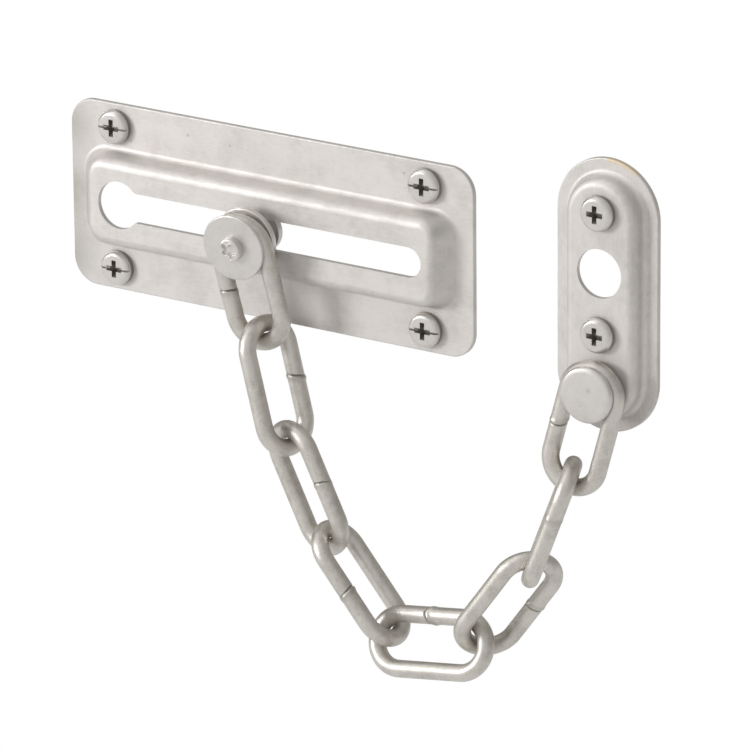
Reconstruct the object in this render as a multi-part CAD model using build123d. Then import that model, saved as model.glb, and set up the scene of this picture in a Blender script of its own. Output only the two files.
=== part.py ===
from build123d import *
import math
import os

# Door chain, in millimetres. The origin is the centre of the track plate's four screws, in the plane
# of the wall. The plates face -Y and +Z is up.

# Sheet metal of both plates
sheet = 1.1
edge_break = 0.3

# Track plate: a flat flange with a raised channel, a sliding slot and a keyhole
track_length = 105.0
track_height = 43.0
track_corner = 6.0
track_face = 6.1
channel_end_flange = 3.8
channel_side_flange = 10.9
channel_end_run = 4.1
channel_side_run = 0.8
channel_foot_corner = 5.5
channel_top_corner = 4.0
track_shoulder = 2.2
foot_bend = 1.2
slot_width = 6.8
slot_inset = 13.7
keyhole_inset = 15.8
keyhole_diameter = 10.9
keyhole_blend = 1.0
track_screw_end_inset = 12.0
track_screw_side_inset = 5.2

# Keeper plate: a long round-ended plate with a raised round-ended panel
plate_gap = 20.95
keeper_width = 24.9
keeper_length = 60.9
keeper_drop = 0.65
keeper_face = 4.5
keeper_flange = 3.35
keeper_run = 0.7
keeper_shoulder = 2.0
keeper_hole_diameter = 10.9
keeper_hole_rise = 5.85
keeper_screw_pitch = 27.1

# Pan-head screws, all alike
screw_head_diameter = 7.9
screw_head_height = 2.5
screw_head_round = 1.7
screw_neck_diameter = 3.4
screw_shank_diameter = 4.2
screw_hole_clearance = 0.2
screw_length = 9.5
screw_tip = 2.2
recess_width = 1.25
recess_span = 4.5
recess_depth = 1.5
driver_slot_width = 0.9
driver_slot_depth = 0.8

# Chain links: bent wire, butt welded
wire = 3.88
link_length = 31.8
link_width = 15.9
link_play = 0.2
link_count = 8

# Keeper stud: a shouldered rivet
stud_drop = 19.75
stud_diameter = 5.4
stud_tenon_diameter = 4.0
stud_head_diameter = 12.6
stud_head_height = 1.5
stud_head_round = 0.8
stud_room = 4.6
stud_rivet_diameter = 8.0
stud_rivet_height = 0.9

# Slider: a turned pin with two washers, hanging a little forward in its slot
slider_x = -0.8
slider_sag = 0.2
pin_droop = 5.8
pin_turn = 2.0
slider_head_diameter = 10.4
slider_head_height = 1.9
slider_neck_diameter = 6.0
slider_rest_gap = 0.08
slider_float = 1.5
journal_diameter = 5.4
washer_bore_clearance = 0.03
inner_washer_diameter = 14.4
inner_washer_height = 1.4
outer_washer_diameter = 15.0
outer_washer_height = 1.0
washer_round = 0.3
link_side_gap = 0.15
pin_end_stand = 1.8

# How each link lies: its turn about its own length, and the small lean and swing it keeps off the
# plain hanging line
link_turns = [None, -77.0, 19.0, -91.0, -21.0, 50.0, -66.0, None]
link_leans_off = [0.0, -2.5, -0.5, 0.0, 0.0, 0.5, 2.5, 0.0]
link_swings_off = [-0.3, 0.0, 3.3, -2.1, 0.4, 0.0, 0.8, -1.1]

# Places worked out from the sizes
keeper_x = track_length / 2 + plate_gap + keeper_width / 2
keeper_z = -keeper_drop
keyhole_x = keyhole_inset - track_length / 2
slot_end_x = track_length / 2 - slot_inset
screw_hole_diameter = screw_shank_diameter + 2 * screw_hole_clearance
stud_x = keeper_x
stud_z = keeper_z - stud_drop
bight_radius = (link_width - wire) / 2
half_straight = (link_length - link_width) / 2


def add(a, b, times=1.0):
    return tuple(p + times * q for p, q in zip(a, b))


def dot(a, b):
    return sum(p * q for p, q in zip(a, b))


def cross(a, b):
    return (a[1] * b[2] - a[2] * b[1], a[2] * b[0] - a[0] * b[2], a[0] * b[1] - a[1] * b[0])


def unit(a):
    return tuple(p / math.sqrt(dot(a, a)) for p in a)


# The slider's axis points out of the slot, turned a little sideways and drooping under the chain
droop = math.radians(pin_droop)
turn = math.radians(pin_turn)
pin_axis = (math.sin(turn) * math.cos(droop), -math.cos(turn) * math.cos(droop), -math.sin(droop))
pin_tilt = math.acos(-pin_axis[1])
pin_origin = (slider_x, -track_face + sheet / 2, -slider_sag)


# Distance along the pin from mid sheet at which a tilted disc just clears the sheet
def disc_clear(diameter):
    lean = diameter / 2 * math.sin(pin_tilt)
    return (sheet / 2 + slider_rest_gap + lean) / math.cos(pin_tilt)


slider_head_front = -disc_clear(slider_head_diameter)
slider_head_back = slider_head_front - slider_head_height
inner_washer_back = disc_clear(inner_washer_diameter) + slider_float
inner_washer_front = inner_washer_back + inner_washer_height
link_seat = inner_washer_front + link_side_gap + wire / 2
outer_washer_back = link_seat + wire / 2 + link_side_gap
outer_washer_front = outer_washer_back + outer_washer_height
pin_end = outer_washer_front + pin_end_stand
stud_mid_y = -keeper_face - stud_room / 2


# Points on the middle of the wire round one end of a link, for finding where two links touch
def bight_points(centre, along, across, side):
    points = []
    for step in range(37):
        angle = math.pi * step / 36
        point = add(centre, across, bight_radius * math.cos(angle))
        points.append(add(point, along, side * bight_radius * math.sin(angle)))
    for step in range(1, 7):
        for flank in (bight_radius, -bight_radius):
            points.append(add(add(centre, across, flank), along, -side * step))
    return points


# Centre of the next link's near end, so that its wire rests in this link's far end along the pull
def seat_next(centre, along, across, next_along, next_across):
    pull = unit(add(along, next_along))
    base = centre
    for run, side in ((along, across), (next_along, next_across)):
        towards = unit(add(add((0, 0, 0), run, dot(run, pull)), side, dot(side, pull)))
        base = add(base, towards, bight_radius)
    held = bight_points(centre, along, across, 1)
    low, high = wire - 0.5, wire + bight_radius
    for _ in range(14):
        middle = (low + high) / 2
        moved = bight_points(add(base, pull, -middle), next_along, next_across, -1)
        gap = min(math.dist(p, q) for p in held for q in moved)
        if gap < wire + link_play:
            low = middle
        else:
            high = middle
    return add(base, pull, -high)


# Directions of a link: along its length and across its two legs
def link_frame(number, swing, lean):
    s, t = math.radians(swing), math.radians(lean)
    if number == 0:
        plain = (math.sin(s), 0.0, -math.cos(s))
        along = unit(add(plain, pin_axis, -dot(plain, pin_axis)))
        return along, cross(along, pin_axis)
    if number == link_count - 1:
        return (math.sin(s), 0.0, -math.cos(s)), (math.cos(s), 0.0, math.sin(s))
    along = (math.sin(s) * math.cos(t), math.sin(t), -math.cos(s) * math.cos(t))
    level = (math.cos(s), 0.0, math.sin(s))
    w = math.radians(link_turns[number])
    across = add(add((0, 0, 0), level, math.cos(w)), cross(along, level), math.sin(w))
    return along, across


# The chain hung from the slider: the slope of each link falls off in step with its number, as in any
# chain that carries its own weight, and the miss is how far its last link then ends from the stud
def hang(steepness, lowest, lean):
    links = []
    for number in range(link_count):
        slope = math.degrees(math.atan(steepness * (lowest - number - 1)))
        swing = 90 - slope + link_swings_off[number]
        along, across = link_frame(number, swing, lean + link_leans_off[number])
        if number == 0:
            hook = link_width / 2 - wire - journal_diameter / 2 - link_play
            near = add(add(pin_origin, pin_axis, link_seat), along, hook)
        else:
            near = seat_next(far, *links[-1][1:3], along, across)
        far = add(near, along, 2 * half_straight)
        links.append((add(near, along, half_straight), along, across, near, far))
    hook = link_width / 2 - wire - stud_diameter / 2 - link_play
    wanted = add((stud_x, stud_mid_y, stud_z), along, -hook)
    return links, add(far, wanted, -1)


# Steepness, lowest place and lean that bring the last link onto the stud, by Newton's method
def close_chain():
    guess = [1.25, 4.89, -0.4]
    steps = (0.02, 0.02, 0.2)
    for _ in range(20):
        links, miss = hang(*guess)
        if math.hypot(*miss) < 0.003:
            break
        columns = []
        for place, step in enumerate(steps):
            nudged = list(guess)
            nudged[place] += step
            columns.append(tuple(v / step for v in add(hang(*nudged)[1], miss, -1)))
        a, b, c = columns
        volume = dot(a, cross(b, c))
        parts = (dot(miss, cross(b, c)), dot(a, cross(miss, c)), dot(a, cross(b, miss)))
        guess = [g - p / volume for g, p in zip(guess, parts)]
    print("chain hangs with", [round(g, 3) for g in guess], "miss", round(math.hypot(*miss), 4))
    return links


# A pressed plate with its wall side at Z = 0 and its front towards local +Z: a flat flange and a
# raised panel with sloped walls, round shoulders and a bent foot, all of one sheet.
# panel(grow_x, grow_y, top) is the panel's outline grown from its foot, with its foot or top corners
def pressed_plate(outline, panel, face, run_x, run_y, shoulder):
    rise = face - sheet
    slant_x, slant_y = run_x / rise, run_y / rise

    def inner(height, top):
        grow_x = -slant_x * (height - sheet) - sheet * math.hypot(1, slant_x)
        grow_y = -slant_y * (height - sheet) - sheet * math.hypot(1, slant_y)
        return Pos(0, 0, height) * panel(grow_x, grow_y, top)

    flange = extrude(outline, sheet)
    flange = fillet(flange.faces().sort_by(Axis.Z)[-1].edges(), edge_break)
    raised = loft([Pos(0, 0, sheet) * panel(0, 0, False), Pos(0, 0, face) * panel(-run_x, -run_y, True)])
    raised = fillet(raised.faces().sort_by(Axis.Z)[-1].edges(), shoulder)
    body = flange + raised
    flange_front = body.faces().filter_by(Axis.Z).filter_by(lambda f: abs(f.center().Z - sheet) < 0.01)[0]
    body = fillet(flange_front.inner_wires().edges(), foot_bend)
    cavity = loft([inner(0, False), inner(rise, True)])
    cavity = fillet(cavity.faces().sort_by(Axis.Z)[-1].edges(), shoulder - sheet)
    body = body - cavity
    back = body.faces().sort_by(Axis.Z)[0]
    return fillet(back.inner_wires().edges(), foot_bend + sheet)


# Straight holes through the whole plate
def pierce(plate, sketch, face):
    return plate - extrude(Pos(0, 0, -sheet) * sketch, face + 2 * sheet)


def track_plate():
    foot_x = track_length / 2 - channel_end_flange
    foot_y = track_height / 2 - channel_side_flange

    def channel(grow_x, grow_y, top):
        corner = (channel_top_corner if top else channel_foot_corner) + max(grow_x, grow_y) * (0 if top else 1)
        return RectangleRounded(2 * (foot_x + grow_x), 2 * (foot_y + grow_y), corner)

    outline = RectangleRounded(track_length, track_height, track_corner)
    plate = pressed_plate(outline, channel, track_face, channel_end_run, channel_side_run, track_shoulder)
    slot_span = slot_end_x - keyhole_x
    slot = Pos(keyhole_x + slot_span / 2, 0) * SlotCenterToCenter(slot_span, slot_width)
    opening = slot + Pos(keyhole_x, 0) * Circle(keyhole_diameter / 2)
    throat = [v for v in opening.vertices() if keyhole_x < v.X < keyhole_x + keyhole_diameter / 2]
    opening = fillet(throat, keyhole_blend)
    plate = pierce(plate, opening, track_face)
    for x, z in track_screw_places():
        plate = pierce(plate, Pos(x, z) * Circle(screw_hole_diameter / 2), track_face)
    return Plane.XZ * plate


def track_screw_places():
    x = track_length / 2 - track_screw_end_inset
    z = track_height / 2 - track_screw_side_inset
    return [(-x, z), (x, z), (-x, -z), (x, -z)]


def keeper_screw_places():
    middle = keeper_z + keeper_hole_rise
    return [(keeper_x, middle + keeper_screw_pitch / 2), (keeper_x, middle - keeper_screw_pitch / 2)]


def keeper_plate():
    def panel(grow_x, grow_y, top):
        width = keeper_width - 2 * keeper_flange + 2 * grow_x
        return Rot(0, 0, 90) * SlotCenterToCenter(keeper_length - keeper_width, width)

    outline = Rot(0, 0, 90) * SlotOverall(keeper_length, keeper_width)
    plate = pressed_plate(outline, panel, keeper_face, keeper_run, keeper_run, keeper_shoulder)
    plate = Pos(keeper_x, keeper_z) * plate
    hole = Pos(keeper_x, keeper_z + keeper_hole_rise) * Circle(keeper_hole_diameter / 2)
    plate = pierce(plate, hole, keeper_face)
    plate = pierce(plate, Pos(stud_x, stud_z) * Circle(stud_tenon_diameter / 2 + washer_bore_clearance),
                   keeper_face)
    for x, z in keeper_screw_places():
        plate = pierce(plate, Pos(x, z) * Circle(screw_hole_diameter / 2), keeper_face)
    return Plane.XZ * plate


# A turned piece from steps of (diameter, start, end) along local Z
def turned(*steps):
    solids = [Pos(0, 0, low) * Cylinder(size / 2, high - low, align=(Align.CENTER, Align.CENTER, Align.MIN))
              for size, low, high in steps]
    piece = solids[0]
    for solid in solids[1:]:
        piece = piece + solid
    return piece


# Rim edges of a turned piece at one height along local Z
def rim(piece, height, diameter):
    return [e for e in piece.edges().filter_by(GeomType.CIRCLE)
            if abs(e.arc_center.Z - height) < 0.001 and abs(e.radius - diameter / 2) < 0.001]


# A pan-head screw with its head seated on a face, and the driver recess in the head
def screw(x, z, face, slotted):
    body = turned(
        (screw_head_diameter, 0, screw_head_height),
        (screw_neck_diameter, -face, 0),
        (screw_shank_diameter, -screw_length, -face),
    )
    body = fillet(rim(body, screw_head_height, screw_head_diameter), screw_head_round)
    point = rim(body, -screw_length, screw_shank_diameter)
    body = chamfer(point, screw_tip, screw_shank_diameter / 2 - edge_break)
    recess = Box(recess_span, recess_width, 2 * recess_depth) + Box(recess_width, recess_span, 2 * recess_depth)
    body = body - Pos(0, 0, screw_head_height) * recess
    if slotted:
        slot = Box(screw_head_diameter, driver_slot_width, 2 * driver_slot_depth)
        body = body - Pos(0, 0, screw_head_height) * slot
    return Plane.XZ * (Pos(x, z, face) * body)


# The stud's shoulder sits on the keeper's face, and its tenon is riveted over behind the sheet
def keeper_stud():
    body = turned(
        (stud_rivet_diameter, -sheet - stud_rivet_height, -sheet),
        (stud_tenon_diameter, -sheet, 0),
        (stud_diameter, 0, stud_room),
        (stud_head_diameter, stud_room, stud_room + stud_head_height),
    )
    body = fillet(rim(body, stud_room + stud_head_height, stud_head_diameter), stud_head_round)
    return Plane.XZ * (Pos(stud_x, stud_z, keeper_face) * body)


# The slider's parts lie along its own tilted axis
slider_plane = Plane(origin=pin_origin, x_dir=(math.cos(turn), math.sin(turn), 0), z_dir=pin_axis)


def slider_pin():
    body = turned(
        (slider_head_diameter, slider_head_back, slider_head_front),
        (slider_neck_diameter, slider_head_front, inner_washer_back),
        (journal_diameter, inner_washer_back, pin_end),
    )
    body = fillet(rim(body, slider_head_back, slider_head_diameter), edge_break)
    body = fillet(rim(body, pin_end, journal_diameter), edge_break)
    return slider_plane * body


def slider_washer(diameter, back, front):
    body = turned((diameter, back, front))
    body = fillet(rim(body, front, diameter) + rim(body, back, diameter), washer_round)
    bore = Cylinder(journal_diameter / 2 + washer_bore_clearance, 4 * front)
    return slider_plane * (body - bore)


# A link is two half rings joined by two straight legs, with local X across it and Y along it
def chain_link(place):
    centre, along, across = place[:3]
    ends = []
    for side in (1, -1):
        section = Plane.XZ * Pos(bight_radius, 0) * Circle(wire / 2)
        half_ring = revolve(section, Axis.Z, side * 180)
        ends.append(Pos(0, side * half_straight) * half_ring)
    legs = [Pos(flank, 0) * Rot(90, 0, 0) * Cylinder(wire / 2, 2 * half_straight)
            for flank in (bight_radius, -bight_radius)]
    link = ends[0] + ends[1] + legs[0] + legs[1]
    return Plane(origin=centre, x_dir=across, z_dir=cross(across, along)) * link


links = close_chain()
pieces = {
    "track_plate": track_plate(),
    "keeper_plate": keeper_plate(),
    "keeper_stud": keeper_stud(),
    "slider_pin": slider_pin(),
    "slider_inner_washer": slider_washer(inner_washer_diameter, inner_washer_back, inner_washer_front),
    "slider_outer_washer": slider_washer(outer_washer_diameter, outer_washer_back, outer_washer_front),
}
for number, (x, z) in enumerate(track_screw_places()):
    pieces[f"track_screw_{number + 1}"] = screw(x, z, sheet, True)
for number, (x, z) in enumerate(keeper_screw_places()):
    pieces[f"keeper_screw_{number + 1}"] = screw(x, z, keeper_face, False)
for number, place in enumerate(links):
    pieces[f"chain_link_{number + 1}"] = chain_link(place)

os.makedirs("parts", exist_ok=True)
for name, piece in pieces.items():
    export_step(piece, f"parts/{name}.step")
    print(name, round(piece.volume, 2))
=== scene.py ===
# Door chain: a slotted track plate, a headed slider, eight welded links and a keeper plate.
# The scene is in metres, in the model's own axes: the plates face -Y and +Z is up.
# Marks, links, screws, pin, stud and camera are given in millimetres, steel and studio in metres.
import math
import random

import bpy
import numpy as np
from mathutils import Matrix, Vector


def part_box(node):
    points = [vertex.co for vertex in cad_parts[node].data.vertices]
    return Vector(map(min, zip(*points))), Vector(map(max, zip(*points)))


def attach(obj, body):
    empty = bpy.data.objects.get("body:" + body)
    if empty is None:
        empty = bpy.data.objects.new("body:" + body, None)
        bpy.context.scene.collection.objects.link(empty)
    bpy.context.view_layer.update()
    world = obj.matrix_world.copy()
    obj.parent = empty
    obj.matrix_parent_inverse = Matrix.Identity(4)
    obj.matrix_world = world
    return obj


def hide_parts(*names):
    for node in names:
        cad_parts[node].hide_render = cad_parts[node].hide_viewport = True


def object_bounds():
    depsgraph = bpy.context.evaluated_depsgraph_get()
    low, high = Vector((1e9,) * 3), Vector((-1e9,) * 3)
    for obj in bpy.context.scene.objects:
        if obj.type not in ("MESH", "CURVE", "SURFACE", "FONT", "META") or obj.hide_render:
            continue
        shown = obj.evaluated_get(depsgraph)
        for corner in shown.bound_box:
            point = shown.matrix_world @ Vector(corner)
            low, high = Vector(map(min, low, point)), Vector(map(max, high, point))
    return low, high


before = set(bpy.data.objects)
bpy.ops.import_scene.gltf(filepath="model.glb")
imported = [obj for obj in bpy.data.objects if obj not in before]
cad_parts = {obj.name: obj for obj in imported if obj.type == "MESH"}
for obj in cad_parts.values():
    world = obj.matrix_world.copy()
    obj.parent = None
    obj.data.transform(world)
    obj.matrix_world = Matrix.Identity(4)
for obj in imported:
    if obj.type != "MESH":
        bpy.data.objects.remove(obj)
cadLow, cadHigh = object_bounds()
mm = 0.001
print("frame loaded")


# a shader value that adds Math nodes when it is used in an expression
class Value:
    def __init__(self, sheet, socket):
        self.sheet, self.socket = sheet, socket

    def worked(self, operation, *values):
        return self.sheet.node("ShaderNodeMath", {"operation": operation}, *values)

    def __add__(self, other):
        return self.worked("ADD", self, other)

    def __radd__(self, other):
        return self.worked("ADD", other, self)

    def __sub__(self, other):
        return self.worked("SUBTRACT", self, other)

    def __rsub__(self, other):
        return self.worked("SUBTRACT", other, self)

    def __mul__(self, other):
        return self.worked("MULTIPLY", self, other)

    def __rmul__(self, other):
        return self.worked("MULTIPLY", other, self)

    def larger(self, other):
        return self.worked("MAXIMUM", self, other)

    def smaller(self, other):
        return self.worked("MINIMUM", self, other)


# one node tree; every node but Mix comes from the method node
class Sheet:
    def __init__(self, tree):
        self.tree = tree
        tree.nodes.clear()

    # links a shader value to a socket, or sets a plain one
    def give(self, socket, value):
        if isinstance(value, Value):
            self.tree.links.new(value.socket, socket)
        else:
            socket.default_value = value

    # settings are made first, then the sockets: values by their order, named ones by their name
    def node(self, kind, settings, *values, out=0, **named):
        made = self.tree.nodes.new(kind)
        for key, value in settings.items():
            setattr(made, key, value)
        for key, value in enumerate(values):
            self.give(made.inputs[key], value)
        for key, value in named.items():
            self.give(made.inputs[key.replace("_", " ")], value)
        return Value(self, made.outputs[out]) if len(made.outputs) else None

    # colour mix: factor, first colour, second colour
    def mix(self, factor, first, second):
        made = self.tree.nodes.new("ShaderNodeMix")
        made.data_type = "RGBA"
        self.give(made.inputs[0], factor)
        for place, tone in ((6, first), (7, second)):  # where a Mix node keeps its two colours
            self.give(made.inputs[place], tone if isinstance(tone, Value) else (*tone, 1.0))
        return Value(self, made.outputs[2])

    # coordinates of the piece itself; "Generated" gives the direction looked in for a world
    def place(self, output="Object"):
        return self.node("ShaderNodeTexCoord", {}, out=output)

    # share for what the camera sees, and another for what shiny and clear things show
    def seen(self, camera, gloss):
        rays = ("Is Camera Ray", "Is Glossy Ray", "Is Transmission Ray")
        direct, shiny, clear = (self.node("ShaderNodeLightPath", {}, out=ray) for ray in rays)
        return direct * camera + (shiny + clear) * gloss

    def stretched(self, where, scale):
        return self.node("ShaderNodeVectorMath", {"operation": "MULTIPLY"}, where, scale)

    def noise(self, where, scale, detail, rough):
        return self.node("ShaderNodeTexNoise", {}, Vector=where, Scale=scale, Detail=detail, Roughness=rough)

    # smooth step of a value from low to high
    def step(self, value, low, high):
        return self.node("ShaderNodeMapRange", {"interpolation_type": "SMOOTHSTEP"}, value, low, high)

    # 1 at a place, falling to 0 at a radius, both in metres
    def spot(self, where, centre, radius):
        far = self.node("ShaderNodeVectorMath", {"operation": "DISTANCE"}, where, centre, out="Value")
        return 1 - self.step(far, 0.0, radius)


# steel settings; the darkest tone is for weld dirt on the links and for shade painted into the screw
# recesses
steelSet = {"tone": (0.715, 0.685, 0.665), "dullTone": (0.54, 0.515, 0.48), "roughness": 0.50,
            "metallic": 0.75, "cloudScale": 90.0, "cloudFrom": 0.35, "cloudTo": 0.75, "cloudShare": 0.45,
            "cloudRough": 0.16, "cloudBump": 0.4, "grainScale": 1900.0, "grainShare": 0.60,
            "grainRough": 0.10, "mottleScale": 520.0, "mottleShare": 0.80, "pitScale": 900.0,
            "pitFrom": 0.70, "pitTo": 0.78, "pitShare": 0.25, "weldDirtAndShadeTone": (0.16, 0.145, 0.12),
            "weldDirtAndShadeShare": 0.75, "bump": 0.22, "bumpReach": 0.00008}


# satin nickel on steel: soft clouds, fine grain, mottling and tiny dark pits
# marks are (centre in mm, radius in mm, tone, share); the last flag darkens by the attribute of the same
# name: weld dirt on the links, painted shade in the screw recesses
def satinNickel(name, marks=(), grainStretch=(1.0, 1.0, 1.0), weldDirtAndRecessShade=False, **changes):
    look = {**steelSet, **changes}
    material = bpy.data.materials.new(name)
    material.use_nodes = True
    sheet = Sheet(material.node_tree)
    where = sheet.place()
    clouds = sheet.noise(where, look["cloudScale"], detail=3.0, rough=0.55)
    grain = sheet.noise(sheet.stretched(where, grainStretch), look["grainScale"], detail=2.0, rough=0.6)
    mottle = sheet.noise(where, look["mottleScale"], detail=3.0, rough=0.6)
    speckle = sheet.noise(where, look["pitScale"], detail=1.0, rough=0.4)
    pits = sheet.step(speckle, look["pitFrom"], look["pitTo"])
    dull = sheet.step(clouds, look["cloudFrom"], look["cloudTo"]) * look["cloudShare"]
    dull = dull + (grain - 0.5) * look["grainShare"] + pits * look["pitShare"]
    dull = dull + (mottle - 0.5) * look["mottleShare"]
    colour = sheet.mix(dull.larger(0.0).smaller(1.0), look["tone"], look["dullTone"])
    rough = look["roughness"] + (clouds - 0.5) * look["cloudRough"] + (grain - 0.5) * look["grainRough"]
    for centre, radius, tone, share in marks:
        mark = sheet.spot(where, [v * mm for v in centre], radius * mm) * share
        colour = sheet.mix(mark, colour, tone)
    # darkening by a point or face attribute: weld dirt on the links, painted shade in the screw recess and
    # slot
    if weldDirtAndRecessShade:
        weldDirtAndShade = sheet.node("ShaderNodeAttribute", {"attribute_name": "weldDirtAndRecessShade"}, out="Fac")
        colour = sheet.mix(weldDirtAndShade * look["weldDirtAndShadeShare"], colour, look["weldDirtAndShadeTone"])
    relief = sheet.node("ShaderNodeBump", {}, Strength=look["bump"], Distance=look["bumpReach"],
                        Height=grain + clouds * look["cloudBump"])
    surface = sheet.node("ShaderNodeBsdfPrincipled", {}, Base_Color=colour, Metallic=look["metallic"],
                         Roughness=rough, Normal=relief)
    sheet.node("ShaderNodeOutputMaterial", {}, surface)
    return material


# a new mesh object, shaded smooth except where faces meet sharply
def meshPiece(name, points, faces, material, sharp=35.0):
    mesh = bpy.data.meshes.new(name)
    mesh.from_pydata([Vector(p) for p in points], [], faces)
    mesh.update()
    piece = bpy.data.objects.new(name, mesh)
    bpy.context.collection.objects.link(piece)
    mesh.materials.append(material)
    mesh.shade_smooth()
    bpy.context.view_layer.objects.active = piece
    mesh.set_sharp_from_angle(angle=math.radians(sharp))
    return piece


# centre of a CAD part and its two longest principal directions, the longest first
def ownAxes(part):
    faces = part.data.polygons
    middles, areas = np.array([f.center for f in faces]), np.array([[f.area] for f in faces])
    centre = (middles * areas).sum(0) / areas.sum()
    spread = (middles - centre).T @ ((middles - centre) * areas)
    ways = np.linalg.eigh(spread)[1]
    return Vector(centre), Vector(ways[:, 2]), Vector(ways[:, 1])


# a closed skin over rings of points; a ring of one point closes an end, and loop joins the last to the first
def skin(rings, loop=False):
    points, faces, starts = [], [], []
    for ring in rings:
        starts.append(len(points))
        points += ring
    pairs = list(zip(range(len(rings)), range(1, len(rings)))) + ([(len(rings) - 1, 0)] if loop else [])
    for first, second in pairs:
        n, m, p, q = len(rings[first]), len(rings[second]), starts[first], starts[second]
        for k in range(max(n, m)):
            j = (k + 1) % max(n, m)
            corners = [p + k % n, p + j % n, q + j % m, q + k % m]
            faces.append([c for i, c in enumerate(corners) if c not in corners[:i]])
    return points, faces


flatSlack = 0.001  # mm; a step this near the top of a turned piece belongs to its flat face


# rings of a turned piece along its axis; steps are (radius, height) in mm and shape moves each point
def turnedRings(steps, around, shape):
    rings = []
    for radius, height in steps:
        if radius == 0:
            rings.append([Vector((0, 0, shape(0, height, 0)[1])) * mm])
            continue
        ring = []
        for k in range(around):
            angle = 2 * math.pi * k / around
            r, h = shape(radius, height, angle)
            ring.append(Vector((r * math.cos(angle), r * math.sin(angle), h)) * mm)
        rings.append(ring)
    return rings


# a quarter round as steps, from the top face out and down to the side
def roundOver(radius, height, size, count):
    turns = [0.5 * math.pi * k / count for k in range(count, -1, -1)]
    return [(radius - size + size * math.cos(a), height - size + size * math.sin(a)) for a in turns]


# moves points made along +Z to a place, with +Z turned to a direction and +X kept as near as can be
def placed(points, origin, way):
    way = Vector(way).normalized()
    side = Vector((1, 0, 0))
    across = (side - way * side.dot(way)).normalized()
    turn = Matrix((across, way.cross(across), way)).transposed()
    return [Vector(origin) + turn @ Vector(p) for p in points]


def finishPiece(piece, body, slot, *nodes):
    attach(piece, body)
    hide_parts(*nodes)


# materials: brushed plates with the marks seen in the photograph, and plainer metal for the small pieces
smudgeTone = (0.36, 0.35, 0.32)
speckTone = (0.10, 0.095, 0.085)
# colour of the painted glint on the keeper's rim
brassGlintTone = (0.80, 0.62, 0.34)
# painted shade tone, for spots where less light falls
paintedShadeTone = (0.34, 0.325, 0.295)
# plate marks: the smudge and the specks are stains; the wide faint spot on the upper flange and the three on
# the left flange are painted shade
plateStainAndShadeMarks = [((47.2, -4.6, 8.9), 3.2, smudgeTone, 0.8), ((45.6, -5.6, 7.4), 2.4, smudgeTone, 0.4),
              ((-21.3, -1.1, 17.4), 0.55, speckTone, 0.4), ((-10.2, -1.1, 16.7), 0.5, speckTone, 0.35),
              ((34.9, -1.1, 18.1), 0.55, speckTone, 0.4), ((-2.0, -1.1, 14.5), 7.0, paintedShadeTone, 0.12)]
plateStainAndShadeMarks += [((-54.0, -1.1, z), 12.0, paintedShadeTone, 0.6) for z in (-15.0, 0.0, 15.0)]

# painted glint: a brass-yellow arc painted on the rim of the keeper's upper end
keeperRim = {"x": 85.9, "y": -0.8, "z": 17.35, "radius": 12.3, "turns": (0.03, 0.14, 0.25, 0.36, 0.47, 0.58)}
keeperGlintMarks = [((keeperRim["x"] + keeperRim["radius"] * math.sin(a), keeperRim["y"],
                 keeperRim["z"] + keeperRim["radius"] * math.cos(a)), 1.15, brassGlintTone, 0.7)
               for a in keeperRim["turns"]]
# painted shade: two darker spots on the stud's head
studShadeMarks = [((87.0, -10.6, -19.0), 0.9, paintedShadeTone, 0.4), ((85.0, -10.6, -22.6), 0.8, paintedShadeTone, 0.2)]

plateNickel = satinNickel("trackNickel", plateStainAndShadeMarks, (0.25, 1.0, 1.0), roughness=0.58)
keeperNickel = satinNickel("keeperNickel", keeperGlintMarks, (1.0, 1.0, 0.25), roughness=0.58)
# the screws' recess and slot get painted shade from their face attribute
screwNickel = satinNickel("screwNickel", roughness=0.34, cloudScale=220.0, weldDirtAndRecessShade=True)
slideNickel = satinNickel("slideNickel", studShadeMarks, roughness=0.38, cloudScale=120.0)
linkNickel = satinNickel("linkNickel", weldDirtAndRecessShade=True, tone=(0.67, 0.64, 0.60), dullTone=(0.44, 0.42, 0.38),
                         metallic=0.92, roughness=0.46, cloudScale=150.0, bump=0.34, grainShare=0.9,
                         mottleShare=1.2)
for name, metal in (("track_plate", plateNickel), ("keeper_plate", keeperNickel),
                    ("slider_inner_washer", slideNickel), ("slider_outer_washer", slideNickel)):
    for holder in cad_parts[name].material_slots:
        holder.material = metal
print("metals made")


# sideAngle and sideRise give the direction that is to the right in the picture, or above
linkSet = {"wire": 3.88, "length": 31.8, "width": 15.9, "shy": 0.006, "around": 44, "bightSteps": 44,
           "weldSteps": 26, "plainSteps": 7, "backSteps": 14, "sideAngle": 33.2, "sideRise": 0.3,
           "collar": 0.24, "collarWidth": 0.55, "ridgeLevel": 0.65, "ridgeRough": 0.9,
           "groove": 0.22, "grooveWidth": 0.17, "grooveAside": 1.15, "grooveLevel": 0.35,
           "grooveDirt": 0.9, "collarDirt": 0.25, "dirtWidth": 0.8, "wander": 0.22, "reach": 2.4,
           "seed": 700, "waves": 5}

# weld of each link: leg (1 on the right or above in the picture), place along it, slant, collar share,
# groove turn
welds = {1: (-1, 2.0, 0.10, 0.5, 4.1), 2: (1, -0.3, -0.25, 1.1, 2.3), 3: (1, 0.0, 0.15, 0.6, 0.9),
         4: (-1, 0.6, 0.20, 0.9, 5.3), 5: (1, 0.5, 0.55, 1.0, 1.9), 6: (1, 1.7, -0.30, 1.1, 4.3),
         7: (-1, 4.0, 0.15, 0.5, 3.2), 8: (-1, -0.4, 0.25, 0.8, 2.1)}


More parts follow.
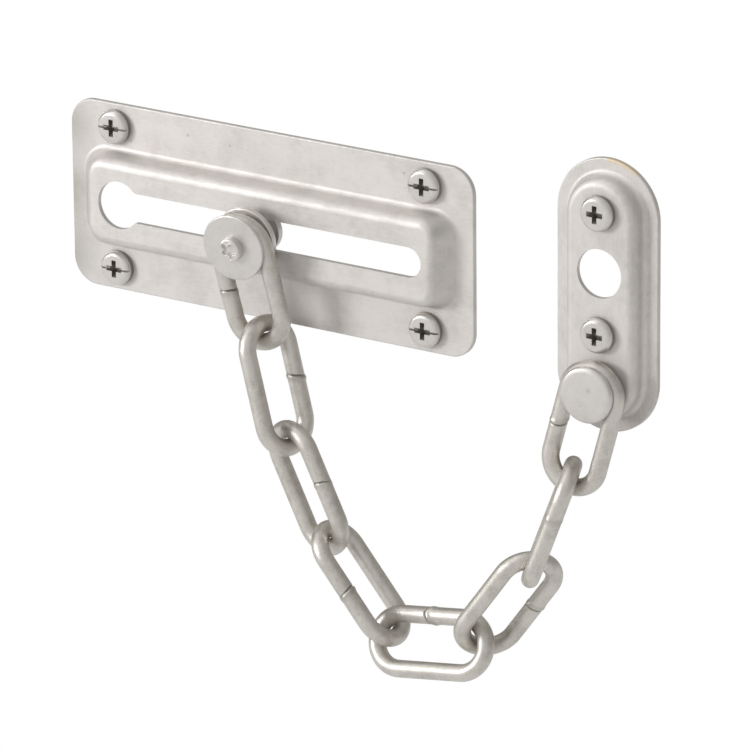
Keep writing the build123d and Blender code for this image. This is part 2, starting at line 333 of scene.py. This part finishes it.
# one bent wire link with the raised ring and the crease that its butt weld left
def weldedLink(number, look):
    centre, along, across = ownAxes(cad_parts[f"chain_link_{number}"])
    if along.x < 0:
        along = -along
    sideAngle = math.radians(look["sideAngle"])
    if across.dot(Vector((math.cos(sideAngle), math.sin(sideAngle), look["sideRise"]))) < 0:
        across = -across
    leg, middle, slant, share, turn = welds[number]
    across = across * leg
    flat = along.cross(across)
    half, bend = (look["length"] - look["width"]) / 2, (look["width"] - look["wire"]) / 2
    reach, draw = look["reach"], random.Random(look["seed"] + number)
    waves = [(draw.uniform(0.4, 1.0), draw.uniform(0, 6.28)) for _ in range(look["waves"])]

    # lift of the wire's surface and its dirt, at a place along the welded leg and an angle around it
    def weldAt(s, angle):
        if s is None or abs(s - middle) >= reach:
            return 0.0, 0.0
        rough = sum(a * math.sin((i + 2) * angle + w) for i, (a, w) in enumerate(waves)) / look["waves"]
        place = s - middle - slant * look["wire"] / 2 * math.cos(angle + turn) - look["wander"] * rough
        ridge = math.exp(-(place / look["collarWidth"]) ** 2)
        ridge *= look["ridgeLevel"] + look["ridgeRough"] * rough
        side = place + look["collarWidth"] * look["grooveAside"]
        cut = math.exp(-(side / look["grooveWidth"]) ** 2)
        cut *= max(0, look["grooveLevel"] + math.cos(angle - turn))
        dirt = look["grooveDirt"] * cut + look["collarDirt"] * math.exp(-(place / look["dirtWidth"]) ** 2)
        return look["collar"] * share * ridge - look["groove"] * cut, min(1.0, dirt)

    # stations along the wire: middle of the section, its outward direction, place on the welded leg
    def bight(end):
        turns = [math.pi * k / look["bightSteps"] for k in range(look["bightSteps"])]
        return [((end * (half + bend * math.sin(t)), end * bend * math.cos(t)),
                 (end * math.sin(t), end * math.cos(t)), None) for t in turns]

    fine, plain, back = look["weldSteps"], look["plainSteps"], look["backSteps"]
    near = [middle + reach * k / fine for k in range(-fine, fine + 1)]
    straight = [-half + (near[0] + half) * k / plain for k in range(plain)] + near
    straight += [near[-1] + (half - near[-1]) * k / plain for k in range(1, plain)]
    stations = [((s, bend), (0, 1), s) for s in straight] + bight(1)
    stations += [((half - 2 * half * k / back, -bend), (0, -1), None) for k in range(back)] + bight(-1)

    radius = look["wire"] / 2 - look["shy"]
    rings, stain = [], []
    for (x, y), (ox, oy), s in stations:
        ring = []
        for k in range(look["around"]):
            angle = 2 * math.pi * k / look["around"]
            lift, dirt = weldAt(s, angle)
            out = (along * ox + across * oy) * math.cos(angle) + flat * math.sin(angle)
            ring.append(centre + (along * x + across * y + out * (radius + lift)) * mm)
            stain.append(dirt)
        rings.append(ring)
    piece = meshPiece(f"weldedLink{number}", *skin(rings, loop=True), linkNickel, sharp=60.0)
    piece.data.attributes.new("weldDirtAndRecessShade", "FLOAT", "POINT").data.foreach_set("value", stain)
    finishPiece(piece, f"link_{number}", "chain_steel", f"chain_link_{number}")


for number in welds:
    weldedLink(number, linkSet)
print("links made")


# stand is how far the seat lies behind the front of the CAD head; clear is how far cutters stand out
screwSet = {"head": 7.9, "stand": 2.5, "height": 2.0, "round": 1.05, "roundRise": 1.25, "flat": 1.0,
            "lipRise": 0.25, "lipIn": 0.2, "neck": 3.4, "root": 3.0, "crest": 4.16, "pitch": 1.75,
            "threadStep": 0.085, "threadStart": 0.8, "ridgeWidth": 0.26, "ridgePower": 0.8,
            "length": 9.5, "tip": 3.2, "tipPower": 0.8, "tipShare": 0.06, "around": 48,
            "wing": 4.6, "wingFoot": 1.7, "wingWidth": 1.25, "wingFootWidth": 0.8, "depth": 1.7,
            "slotWidth": 0.55, "slotTaper": 0.2, "slotDepth": 0.7, "slotOver": 1.0, "clear": 0.5,
            "shadeFoot": 0.1, "shadeDepth": 0.06, "sharp": 32.0}


# a box with a smaller foot, as points and faces
def wedge(long, wide, footLong, footWide, top, foot):
    points = [Vector((x * l / 2, y * w / 2, z)) * mm
              for l, w, z in ((footLong, footWide, foot), (long, wide, top))
              for x, y in ((-1, -1), (1, -1), (1, 1), (-1, 1))]
    faces = [(3, 2, 1, 0), (4, 5, 6, 7)] + [(k, (k + 1) % 4, 4 + (k + 1) % 4, 4 + k) for k in range(4)]
    return points, faces


def cutAway(piece, cutters, sharp):
    for points, faces in cutters:
        tool = meshPiece("cutter", points, faces, piece.data.materials[0])
        step = piece.modifiers.new("cut", "BOOLEAN")
        step.operation, step.solver, step.object = "DIFFERENCE", "EXACT", tool
        bpy.context.view_layer.update()
        result = bpy.data.meshes.new_from_object(piece.evaluated_get(bpy.context.evaluated_depsgraph_get()))
        piece.modifiers.remove(step)
        piece.data = result
        bpy.data.objects.remove(tool)
    piece.data.shade_smooth()
    piece.data.set_sharp_from_angle(angle=math.radians(sharp))


# a pan-head wood screw: domed head, cross recess, plain neck, and a rolled thread running out in a point
def woodScrew(name, body, slotted, look):
    low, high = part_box(name)
    top, head, neck = look["height"], look["head"] / 2, look["neck"] / 2
    seat = low.y + look["stand"] * mm
    plain = -seat / mm
    rise = look["roundRise"] / look["round"]
    steps = [(0, top), (look["flat"], top)]
    steps += [(r, top - (top - h) * rise) for r, h in roundOver(head, top, look["round"], 10)]
    steps += [(head, look["lipRise"]), (head - look["lipIn"], 0.0), (neck, 0.0), (neck, -plain)]
    count = int((look["length"] - plain) / look["threadStep"])
    steps += [(look["root"] / 2, -plain - look["threadStep"] * k) for k in range(1, count)]
    steps += [(0, -look["length"])]

    def threaded(radius, height, angle):
        if height >= -plain or radius == 0:
            return radius, height
        turnShare = (height / look["pitch"] - angle / (2 * math.pi)) % 1.0
        ridge = max(0.0, 1 - abs(turnShare - 0.5) / look["ridgeWidth"]) ** look["ridgePower"]
        start = min(1.0, (-plain - height) / look["threadStart"])
        taper = min(1.0, (look["length"] + height) / look["tip"]) ** look["tipPower"]
        full = radius + (look["crest"] / 2 - radius) * ridge * start
        return full * max(look["tipShare"], taper), height

    points, faces = skin(turnedRings(steps, look["around"], threaded))
    title = name.replace("track_", "plate").replace("keeper_", "keeper") + "Pan"
    piece = meshPiece(title, points, faces, screwNickel)

    wing, width, foot, footWidth = (look[k] for k in ("wing", "wingWidth", "wingFoot", "wingFootWidth"))
    levels = (top + look["clear"], top - look["depth"])
    cutters = [wedge(wing, width, foot, footWidth, *levels), wedge(width, wing, footWidth, foot, *levels)]
    if slotted:
        across, slot = look["head"] + look["slotOver"], look["slotWidth"]
        cutters.append(wedge(across, slot, across, slot - look["slotTaper"], levels[0],
                             top - look["slotDepth"]))
    cutAway(piece, cutters, look["sharp"])

    # painted shade: faces of the recess and the slot are painted darker than the head's own skin, where
    # shade falls in them
    inner, shade = head - look["round"], []
    for face in piece.data.polygons:
        x, y, z = face.center / mm
        outward = max(0.0, math.hypot(x, y) - inner) / look["round"]
        skinHeight = top - look["roundRise"] * (1 - math.sqrt(max(0.0, 1 - outward * outward)))
        sunk = z > look["shadeFoot"] and outward < 1 and skinHeight - z > look["shadeDepth"]
        shade.append(1.0 if sunk else 0.0)
    piece.data.attributes.new("weldDirtAndRecessShade", "FLOAT", "FACE").data.foreach_set("value", shade)
    middle = (low + high) / 2
    moved = placed([v.co for v in piece.data.vertices], (middle.x, seat, middle.z), (0, -1, 0))
    piece.data.vertices.foreach_set("co", [c for v in moved for c in v])
    piece.data.update()
    finishPiece(piece, body, "screw_steel", name)


for number in range(1, 5):
    woodScrew(f"track_screw_{number}", "plates", True, screwSet)
for number in range(1, 3):
    woodScrew(f"keeper_screw_{number}", "plates", False, screwSet)
print("screws made")


pinSet = {"origin": (-0.8, -5.55, -0.2), "axis": (0.03472, -0.99427, -0.10106), "headBack": -3.0925,
          "headFront": -1.1925, "head": 10.4, "neck": 6.0, "journalBack": 2.9074, "journal": 5.4,
          "end": 11.2874, "edge": 0.35, "edgeCut": 0.3, "lip": 0.01, "faceStep": 0.1,
          "star": 1.35, "starPoints": 5, "starTurn": 0.5, "starWave": 0.34, "starLean": 0.13,
          "leanTurn": 1.1, "starSoft": 0.34, "starDepth": 0.5, "rimGap": 0.28, "rimWidth": 0.20,
          "rimRise": 0.09, "around": 120}


# the slider's pin: rear head, neck, journal, and an end staked with an uneven star
def stakedPin(look):
    end, journal = look["end"] - look["rimRise"], look["journal"] / 2
    neck, head = look["neck"] / 2, look["head"] / 2

    def struck(radius, height, angle):
        if height < end - flatSlack:
            return radius, height
        wave = look["starWave"] * math.cos(look["starPoints"] * angle + look["starTurn"])
        lean = look["starLean"] * math.cos(2 * angle + look["leanTurn"])
        star = look["star"] * (1 + wave + lean)
        inside = max(0.0, min(1.0, (star - radius) / look["starSoft"] + 0.5))
        sunk = look["starDepth"] * inside * inside * (3 - 2 * inside)
        rim = math.exp(-((radius - star - look["rimGap"]) / look["rimWidth"]) ** 2)
        return radius, height - sunk + look["rimRise"] * rim

    edge, cut = look["edge"], look["edge"] * look["edgeCut"]
    count = int((journal - edge) / look["faceStep"])
    steps = [(0, end)] + [(look["faceStep"] * k, end) for k in range(1, count + 1)]
    steps += roundOver(journal, end - look["lip"], edge, 5)
    front, back = look["headFront"], look["headBack"]
    steps += [(journal, look["journalBack"]), (neck, look["journalBack"]), (neck, front), (head, front),
              (head, back + edge), (head - cut, back + cut), (head - edge, back), (0, back)]
    points, faces = skin(turnedRings(steps, look["around"], struck))
    points = placed(points, [v * mm for v in look["origin"]], look["axis"])
    finishPiece(meshPiece("stakedPin", points, faces, slideNickel), "slider", "slider_steel", "slider_pin")


# room is the height of the shank between the plate and the head
studSet = {"place": (85.9, -4.5, -20.4), "shank": 5.4, "room": 4.6, "head": 12.6, "height": 1.5,
           "round": 0.8, "faceStep": 0.2, "faceRings": 26, "dimple": 0.6, "dimpleDepth": 0.06,
           "crown": 0.22, "tenon": 4.0, "rivet": 8.0, "rivetHeight": 0.9, "rivetEdge": 0.3,
           "rivetSlope": 0.8, "sheet": 1.1, "around": 96}


# the keeper's stud: flat head with a shallow dimple, plain shank, and a riveted tail behind the plate
def keeperStud(look):
    top, radius, room = look["room"] + look["height"], look["head"] / 2, look["room"]
    shank, tenon, rivet = look["shank"] / 2, look["tenon"] / 2, look["rivet"] / 2
    back, tail = -look["sheet"], -look["sheet"] - look["rivetHeight"]

    def crowned(r, height, angle):
        if height < top - flatSlack:
            return r, height
        dish = look["dimpleDepth"] * math.exp(-(r / look["dimple"]) ** 2)
        return r, height - look["crown"] * (r / radius) ** 2 - dish

    steps = [(0, top)] + [(look["faceStep"] * k, top) for k in range(1, look["faceRings"] + 1)]
    steps += roundOver(radius, top - look["crown"], look["round"], 8)[1:]
    steps += [(radius, room), (shank, room), (shank, 0.0), (tenon, 0.0), (tenon, back), (rivet, back),
              (rivet, tail + look["rivetEdge"]), (rivet - look["rivetSlope"], tail), (0, tail)]
    points, faces = skin(turnedRings(steps, look["around"], crowned))
    points = placed(points, [v * mm for v in look["place"]], (0, -1, 0))
    finishPiece(meshPiece("dimpledStud", points, faces, slideNickel), "plates", "stud_steel", "keeper_stud")


stakedPin(pinSet)
keeperStud(studSet)
print("pin and stud made")


# direction from the middle of the object, in degrees: 0, 0 is straight in front of the plates
def aim(azimuth, elevation):
    a, e = math.radians(azimuth), math.radians(elevation)
    return Vector((math.sin(a) * math.cos(e), -math.cos(a) * math.cos(e), math.sin(e)))


# cards are (direction, spread, tone); each fades in from cardOuter to cardInner times its spread
studioSet = {"floorDrop": 0.75, "floorSize": 14.0, "floorTone": (0.86, 0.86, 0.85), "floorGloss": 0.6,
             "shadowReach": 1.2, "shadowShare": 0.55,
             "keyPower": 5.2, "keySize": 0.32, "keyAzimuth": -46.0, "keyElevation": 14.0, "keyDistance": 1.1,
             "topPower": 1.8, "topSize": 0.8, "topAzimuth": -58.0, "topElevation": 54.0, "topDistance": 1.1,
             "airTone": (0.72, 0.72, 0.71), "cardOuter": 2.0, "cardInner": 0.4,
             "cards": [((132.0, 10.0), 0.45, (0.40, 0.39, 0.37)), ((-105.0, 0.0), 0.36, (0.20, 0.19, 0.17))]}


# studio: white floor, pale air with two grey cards, a key lamp from the left and a soft one above
def studio(look):
    world = bpy.data.worlds.new("studio")
    bpy.context.scene.world = world
    world.use_nodes = True
    sheet = Sheet(world.node_tree)
    towards = sheet.place("Generated")
    tone = look["airTone"]
    for angles, spread, shade in look["cards"]:
        facing = sheet.node("ShaderNodeVectorMath", {"operation": "DOT_PRODUCT"}, towards, aim(*angles),
                            out="Value")
        card = sheet.step(facing, 1 - look["cardOuter"] * spread, 1 - look["cardInner"] * spread)
        tone = sheet.mix(card, tone, shade)
    tone = sheet.mix(sheet.seen(1.0, 0.0), tone, (1.0, 1.0, 1.0))
    sheet.node("ShaderNodeOutputWorld", {}, sheet.node("ShaderNodeBackground", {}, tone, 1.0))

    half, low = look["floorSize"] / 2, cadLow.z - look["floorDrop"]
    corners = [(-half, -half, low), (half, -half, low), (half, half, low), (-half, half, low)]
    white = bpy.data.materials.new("paleFloor")
    white.use_nodes = True
    sheet = Sheet(white.node_tree)
    under = sheet.spot(sheet.place(), (0.0, 0.0, low), look["shadowReach"]) * look["shadowShare"]
    matt = sheet.node("ShaderNodeBsdfDiffuse", {}, (*look["floorTone"], 1.0))
    glow = sheet.node("ShaderNodeEmission", {}, (1.0, 1.0, 1.0, 1.0), 1.0)
    lit = sheet.seen(1 - under, look["floorGloss"])
    sheet.node("ShaderNodeOutputMaterial", {}, sheet.node("ShaderNodeMixShader", {}, lit, matt, glow))
    meshPiece("floor", corners, [(0, 1, 2, 3)], white)

    centre = (cadLow + cadHigh) / 2
    for name in ("key", "top"):
        lamp = bpy.data.lights.new(name + "Light", "AREA")
        lamp.energy = look[name + "Power"]
        lamp.size = look[name + "Size"]
        holder = bpy.data.objects.new(name + "Light", lamp)
        bpy.context.collection.objects.link(holder)
        way = aim(look[name + "Azimuth"], look[name + "Elevation"])
        holder.location = centre + way * look[name + "Distance"]
        holder.rotation_euler = way.to_track_quat("Z", "Y").to_euler()


# long lens, right of the plates and a little above them
cameraSet = {"target": (26.28, 0.0, -29.76), "distance": 1561.7, "azimuth": 33.17, "elevation": 19.36,
             "roll": -0.52, "lens": 344.8, "sensor": 36.0, "clipNear": 100.0, "clipFar": 100000.0}


def setCamera(look):
    lens = bpy.data.cameras.new("camera")
    lens.lens, lens.sensor_width = look["lens"], look["sensor"]
    lens.clip_start, lens.clip_end = look["clipNear"] * mm, look["clipFar"] * mm
    camera = bpy.data.objects.new("camera", lens)
    bpy.context.collection.objects.link(camera)
    azimuth = math.radians(look["azimuth"])
    back, right = aim(look["azimuth"], look["elevation"]), Vector((math.cos(azimuth), math.sin(azimuth), 0))
    turn = Matrix((right, back.cross(right), back)).transposed()
    turn = turn @ Matrix.Rotation(math.radians(look["roll"]), 3, "Z")
    spot = Vector(look["target"]) * mm + back * look["distance"] * mm
    camera.matrix_world = Matrix.Translation(spot) @ turn.to_4x4()
    bpy.context.scene.camera = camera


studio(studioSet)
setCamera(cameraSet)
bpy.context.scene.view_settings.view_transform = "Standard"
print("studio ready")
